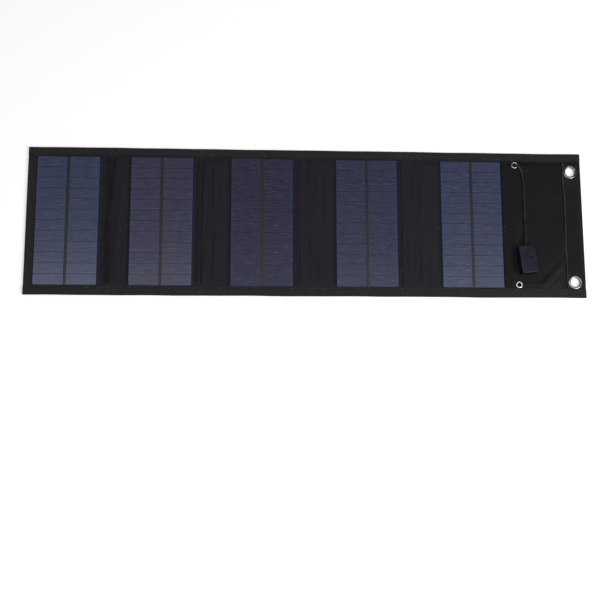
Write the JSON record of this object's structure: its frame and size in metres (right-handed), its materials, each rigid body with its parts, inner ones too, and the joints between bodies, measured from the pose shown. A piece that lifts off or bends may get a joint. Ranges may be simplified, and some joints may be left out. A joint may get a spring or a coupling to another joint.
{
  "type": "folding solar panel charger",
  "caption": "Cloth strip with rigid solar plates, sewn to fold into a stack, with a closing flap, grommets and a small socket box on a thin cable.",
  "frame": {"origin": "middle of the strip's underside, on the surface that it lies on", "axes": "+X along the strip from the first plate to the closing flap, +Y across it towards the edge with the cable's eyelet, +Z out of the cells"},
  "size_m": [0.61, 0.164, 0.0129],
  "materials": {
    "cloth": "coated plain-weave cloth, matt with a faint sheen",
    "board": "matt laminate board",
    "cell": "dark blue-violet cells with fine fingers",
    "film": "clear film with a fine crinkle",
    "copper": "tinned copper",
    "fastener": "black hook-and-loop tape",
    "nickel": "nickel-plated steel",
    "case": "satin moulded plastic",
    "cable": "satin rubber jacket",
    "circuit": "solder mask",
    "tongue": "white moulded plastic",
    "led": "clear lamp body"
  },
  "bodies": {
    "panel_5": {"panel_5_back_cloth": "cloth", "panel_5_front_cloth": "cloth", "backboard_5": "board", "cell_array_5": "cell", "cover_film_5": "film"},
    "panel_4": {"panel_4_back_cloth": "cloth", "panel_4_front_cloth": "cloth", "backboard_4": "board", "cell_array_4": "cell", "cover_film_4": "film", "loop_strip": "fastener"},
    "panel_3": {"panel_3_back_cloth": "cloth", "panel_3_front_cloth": "cloth", "backboard_3": "board", "cell_array_3": "cell", "cover_film_3": "film"},
    "panel_2": {"panel_2_back_cloth": "cloth", "panel_2_front_cloth": "cloth", "backboard_2": "board", "cell_array_2": "cell", "cover_film_2": "film"},
    "panel_1": {"panel_1_back_cloth": "cloth", "panel_1_front_cloth": "cloth", "backboard_1": "board", "cell_array_1": "cell", "cover_film_1": "film"},
    "spine_1": {"spine_1_back_cloth": "cloth", "spine_1_front_cloth": "cloth", "link_wire_1": "copper"},
    "spine_2": {"spine_2_back_cloth": "cloth", "spine_2_front_cloth": "cloth", "link_wire_2": "copper"},
    "spine_3": {"spine_3_back_cloth": "cloth", "spine_3_front_cloth": "cloth", "link_wire_3": "copper"},
    "spine_4": {"spine_4_back_cloth": "cloth", "spine_4_front_cloth": "cloth", "link_wire_4": "copper"},
    "spine_5": {"spine_5_back_cloth": "cloth", "spine_5_front_cloth": "cloth", "link_wire_5": "copper", "eyelet_upper": "nickel", "eyelet_lower": "nickel", "cable_root": "cable"},
    "flap": {"flap_back_cloth": "cloth", "flap_front_cloth": "cloth", "hook_strip": "fastener", "grommet_upper": "nickel", "grommet_lower": "nickel", "grommet_washer_upper": "nickel", "grommet_washer_lower": "nickel"},
    "usb_lead": {"usb_cable": "cable", "case_bottom": "case", "case_top": "case", "socket_shell": "nickel", "socket_tongue": "tongue", "circuit_board": "circuit", "charge_lamp": "led", "power_coil": "copper"}
  },
  "joints": [
    {"name": "fold_4", "type": "hinge", "parent": "panel_5", "child": "spine_4", "pos_m": [0.1218, 0, 0.0023], "axis": [0, 1, 0], "range_deg": [0, 90]},
    {"name": "fold_4_far", "type": "hinge", "parent": "spine_4", "child": "panel_4", "pos_m": [0.1018, 0, 0.0023], "axis": [0, 1, 0], "range_deg": [0, 90]},
    {"name": "fold_3", "type": "hinge", "parent": "panel_4", "child": "spine_3", "pos_m": [0.0045, 0, 0.0023], "axis": [0, 1, 0], "range_deg": [0, 90]},
    {"name": "fold_3_far", "type": "hinge", "parent": "spine_3", "child": "panel_3", "pos_m": [-0.0113, 0, 0.0023], "axis": [0, 1, 0], "range_deg": [0, 90]},
    {"name": "fold_2", "type": "hinge", "parent": "panel_3", "child": "spine_2", "pos_m": [-0.1055, 0, 0.0023], "axis": [0, 1, 0], "range_deg": [0, 90]},
    {"name": "fold_2_far", "type": "hinge", "parent": "spine_2", "child": "panel_2", "pos_m": [-0.1171, 0, 0.0023], "axis": [0, 1, 0], "range_deg": [0, 90]},
    {"name": "fold_1", "type": "hinge", "parent": "panel_2", "child": "spine_1", "pos_m": [-0.2079, 0, 0.0023], "axis": [0, 1, 0], "range_deg": [0, 90]},
    {"name": "fold_1_far", "type": "hinge", "parent": "spine_1", "child": "panel_1", "pos_m": [-0.2153, 0, 0.0023], "axis": [0, 1, 0], "range_deg": [0, 90]},
    {"name": "flap_fold", "type": "hinge", "parent": "panel_5", "child": "spine_5", "pos_m": [0.2263, 0, 0.0023], "axis": [0, -1, 0], "range_deg": [0, 90]},
    {"name": "flap_fold_far", "type": "hinge", "parent": "spine_5", "child": "flap", "pos_m": [0.2543, 0, 0.0023], "axis": [0, -1, 0], "range_deg": [0, 94.5]},
    {"name": "lead_lift", "type": "hinge", "parent": "spine_5", "child": "usb_lead", "pos_m": [0.2305, 0.068, 0.0039], "axis": [-1, 0, 0], "range_deg": [0, 180]}
  ],
  "couplings": [
    {"joint": "fold_4_far", "follows": "fold_4", "ratio": 1},
    {"joint": "fold_3_far", "follows": "fold_3", "ratio": 1},
    {"joint": "fold_2_far", "follows": "fold_2", "ratio": 1},
    {"joint": "fold_1_far", "follows": "fold_1", "ratio": 1},
    {"joint": "flap_fold_far", "follows": "flap_fold", "ratio": 1.05}
  ]
}
